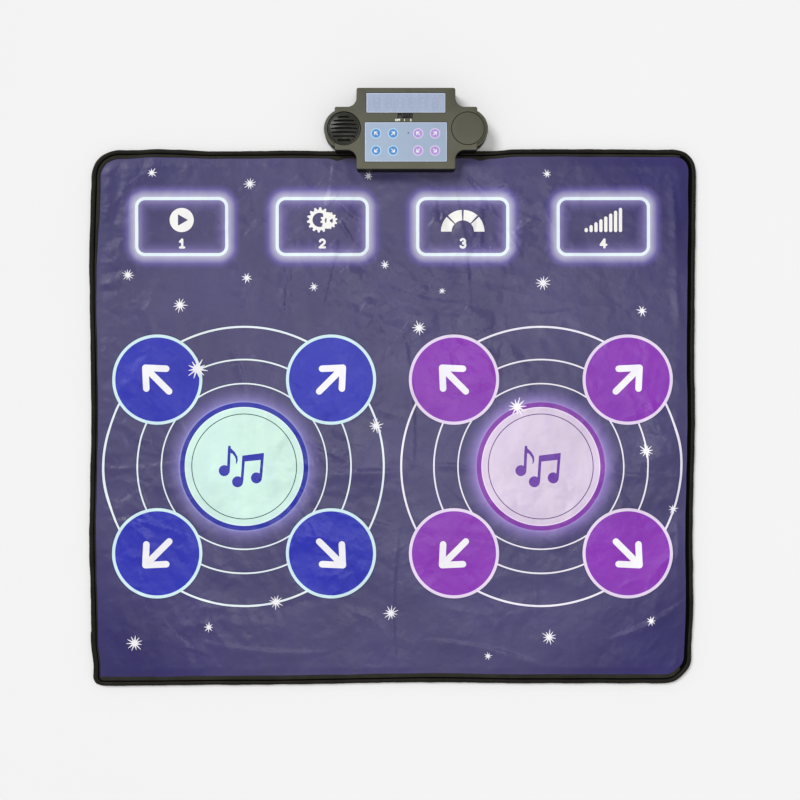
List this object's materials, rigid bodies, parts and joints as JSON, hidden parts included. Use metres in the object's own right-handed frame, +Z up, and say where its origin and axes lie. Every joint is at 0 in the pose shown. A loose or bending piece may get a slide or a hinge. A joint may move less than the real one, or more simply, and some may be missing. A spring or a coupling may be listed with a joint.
{
  "type": "dance mat controller",
  "caption": "Soft two-player dance mat with round pressure zones, framed menu keys and a battery-powered control unit clamped over its back edge.",
  "frame": {"origin": "centre of the mat's underside, on the surface that the mat lies on", "axes": "+X along the mat's long side, +Y from the players towards the control unit, +Z up"},
  "size_m": [0.9, 0.8877, 0.0376],
  "materials": {
    "printed_vinyl": "soft sheen, printed dark indigo with pale rings and stars",
    "blue_print": "soft sheen, printed blue and mint",
    "purple_print": "soft sheen, printed purple and lavender",
    "key_print": "soft sheen, printed dark indigo with a pale glowing frame",
    "backing_fabric": "black woven fabric with anti-slip dots",
    "binding_tape": "black woven tape, folded and sewn",
    "spacer_foam": "soft foam",
    "contact_film": "polyester film",
    "housing_plastic": "olive grey, fine moulded grain",
    "grille_plastic": "dark olive, satin",
    "black_plastic": "black, satin",
    "clear_window": "smooth, pale blue grey",
    "display_panel": "smooth",
    "circuit_board": "green solder mask",
    "plated_steel": "zinc plated",
    "speaker_paper": "pressed black paper",
    "foot_rubber": "matte black",
    "cell_sleeve": "plain shrink sleeve"
  },
  "bodies": {
    "mat_and_unit": {"bottom_backing": "backing_fabric", "lower_contact_film": "contact_film", "spacer_foam": "spacer_foam", "upper_contact_film": "contact_film", "top_cover": "printed_vinyl", "edge_binding": "binding_tape", "clamp_plate": "plated_steel", "clamp_screw_1": "plated_steel", "clamp_screw_2": "plated_steel", "clamp_screw_3": "plated_steel", "clamp_screw_4": "plated_steel", "front_cover": "housing_plastic", "rear_case": "housing_plastic", "housing_screw_1": "plated_steel", "housing_screw_2": "plated_steel", "housing_screw_3": "plated_steel", "housing_screw_4": "plated_steel", "rubber_foot_left": "foot_rubber", "rubber_foot_right": "foot_rubber", "score_window": "clear_window", "icon_window": "clear_window", "speaker_grille": "grille_plastic", "blanking_cap": "housing_plastic", "switch_body": "black_plastic", "main_board": "circuit_board", "display_board": "circuit_board", "score_display": "display_panel", "icon_light_guide": "display_panel", "speaker_basket": "plated_steel", "speaker_cone": "speaker_paper", "speaker_magnet": "plated_steel", "ribbon_tail": "contact_film", "ribbon_connector": "black_plastic", "battery_cell_1": "cell_sleeve", "battery_cell_2": "cell_sleeve", "battery_cell_3": "cell_sleeve", "battery_spring_1": "plated_steel", "battery_spring_2": "plated_steel", "battery_spring_3": "plated_steel", "battery_contact_left": "plated_steel", "battery_contact_right": "plated_steel"},
    "left_pad_centre": {"left_pad_centre": "blue_print"},
    "left_pad_upper_left": {"left_pad_upper_left": "blue_print"},
    "left_pad_upper_right": {"left_pad_upper_right": "blue_print"},
    "left_pad_lower_left": {"left_pad_lower_left": "blue_print"},
    "left_pad_lower_right": {"left_pad_lower_right": "blue_print"},
    "right_pad_centre": {"right_pad_centre": "purple_print"},
    "right_pad_upper_left": {"right_pad_upper_left": "purple_print"},
    "right_pad_upper_right": {"right_pad_upper_right": "purple_print"},
    "right_pad_lower_left": {"right_pad_lower_left": "purple_print"},
    "right_pad_lower_right": {"right_pad_lower_right": "purple_print"},
    "menu_key_start": {"menu_key_start": "key_print"},
    "menu_key_mode": {"menu_key_mode": "key_print"},
    "menu_key_level": {"menu_key_level": "key_print"},
    "menu_key_volume": {"menu_key_volume": "key_print"},
    "switch_knob": {"switch_knob": "black_plastic"},
    "battery_door": {"battery_door": "housing_plastic", "battery_door_screw": "plated_steel"}
  },
  "joints": [
    {"name": "left_pad_centre_press", "type": "slide", "parent": "mat_and_unit", "child": "left_pad_centre", "axis": [0, 0, -1], "range_m": [0, 0.0014], "stiffness_N_per_m": 5000, "springref_m": -0.0004},
    {"name": "left_pad_upper_left_press", "type": "slide", "parent": "mat_and_unit", "child": "left_pad_upper_left", "axis": [0, 0, -1], "range_m": [0, 0.0014], "stiffness_N_per_m": 5000, "springref_m": -0.0004},
    {"name": "left_pad_upper_right_press", "type": "slide", "parent": "mat_and_unit", "child": "left_pad_upper_right", "axis": [0, 0, -1], "range_m": [0, 0.0014], "stiffness_N_per_m": 5000, "springref_m": -0.0004},
    {"name": "left_pad_lower_left_press", "type": "slide", "parent": "mat_and_unit", "child": "left_pad_lower_left", "axis": [0, 0, -1], "range_m": [0, 0.0014], "stiffness_N_per_m": 5000, "springref_m": -0.0004},
    {"name": "left_pad_lower_right_press", "type": "slide", "parent": "mat_and_unit", "child": "left_pad_lower_right", "axis": [0, 0, -1], "range_m": [0, 0.0014], "stiffness_N_per_m": 5000, "springref_m": -0.0004},
    {"name": "right_pad_centre_press", "type": "slide", "parent": "mat_and_unit", "child": "right_pad_centre", "axis": [0, 0, -1], "range_m": [0, 0.0014], "stiffness_N_per_m": 5000, "springref_m": -0.0004},
    {"name": "right_pad_upper_left_press", "type": "slide", "parent": "mat_and_unit", "child": "right_pad_upper_left", "axis": [0, 0, -1], "range_m": [0, 0.0014], "stiffness_N_per_m": 5000, "springref_m": -0.0004},
    {"name": "right_pad_upper_right_press", "type": "slide", "parent": "mat_and_unit", "child": "right_pad_upper_right", "axis": [0, 0, -1], "range_m": [0, 0.0014], "stiffness_N_per_m": 5000, "springref_m": -0.0004},
    {"name": "right_pad_lower_left_press", "type": "slide", "parent": "mat_and_unit", "child": "right_pad_lower_left", "axis": [0, 0, -1], "range_m": [0, 0.0014], "stiffness_N_per_m": 5000, "springref_m": -0.0004},
    {"name": "right_pad_lower_right_press", "type": "slide", "parent": "mat_and_unit", "child": "right_pad_lower_right", "axis": [0, 0, -1], "range_m": [0, 0.0014], "stiffness_N_per_m": 5000, "springref_m": -0.0004},
    {"name": "menu_key_start_press", "type": "slide", "parent": "mat_and_unit", "child": "menu_key_start", "axis": [0, 0, -1], "range_m": [0, 0.0014], "stiffness_N_per_m": 5000, "springref_m": -0.0004},
    {"name": "menu_key_mode_press", "type": "slide", "parent": "mat_and_unit", "child": "menu_key_mode", "axis": [0, 0, -1], "range_m": [0, 0.0014], "stiffness_N_per_m": 5000, "springref_m": -0.0004},
    {"name": "menu_key_level_press", "type": "slide", "parent": "mat_and_unit", "child": "menu_key_level", "axis": [0, 0, -1], "range_m": [0, 0.0014], "stiffness_N_per_m": 5000, "springref_m": -0.0004},
    {"name": "menu_key_volume_press", "type": "slide", "parent": "mat_and_unit", "child": "menu_key_volume", "axis": [0, 0, -1], "range_m": [0, 0.0014], "stiffness_N_per_m": 5000, "springref_m": -0.0004},
    {"name": "switch_slide", "type": "slide", "parent": "mat_and_unit", "child": "switch_knob", "axis": [1, 0, 0], "range_m": [-0.0061, 0]},
    {"name": "battery_door_lift_off", "type": "slide", "parent": "mat_and_unit", "child": "battery_door", "axis": [0, 0, -1], "range_m": [0, 0.03]}
  ]
}
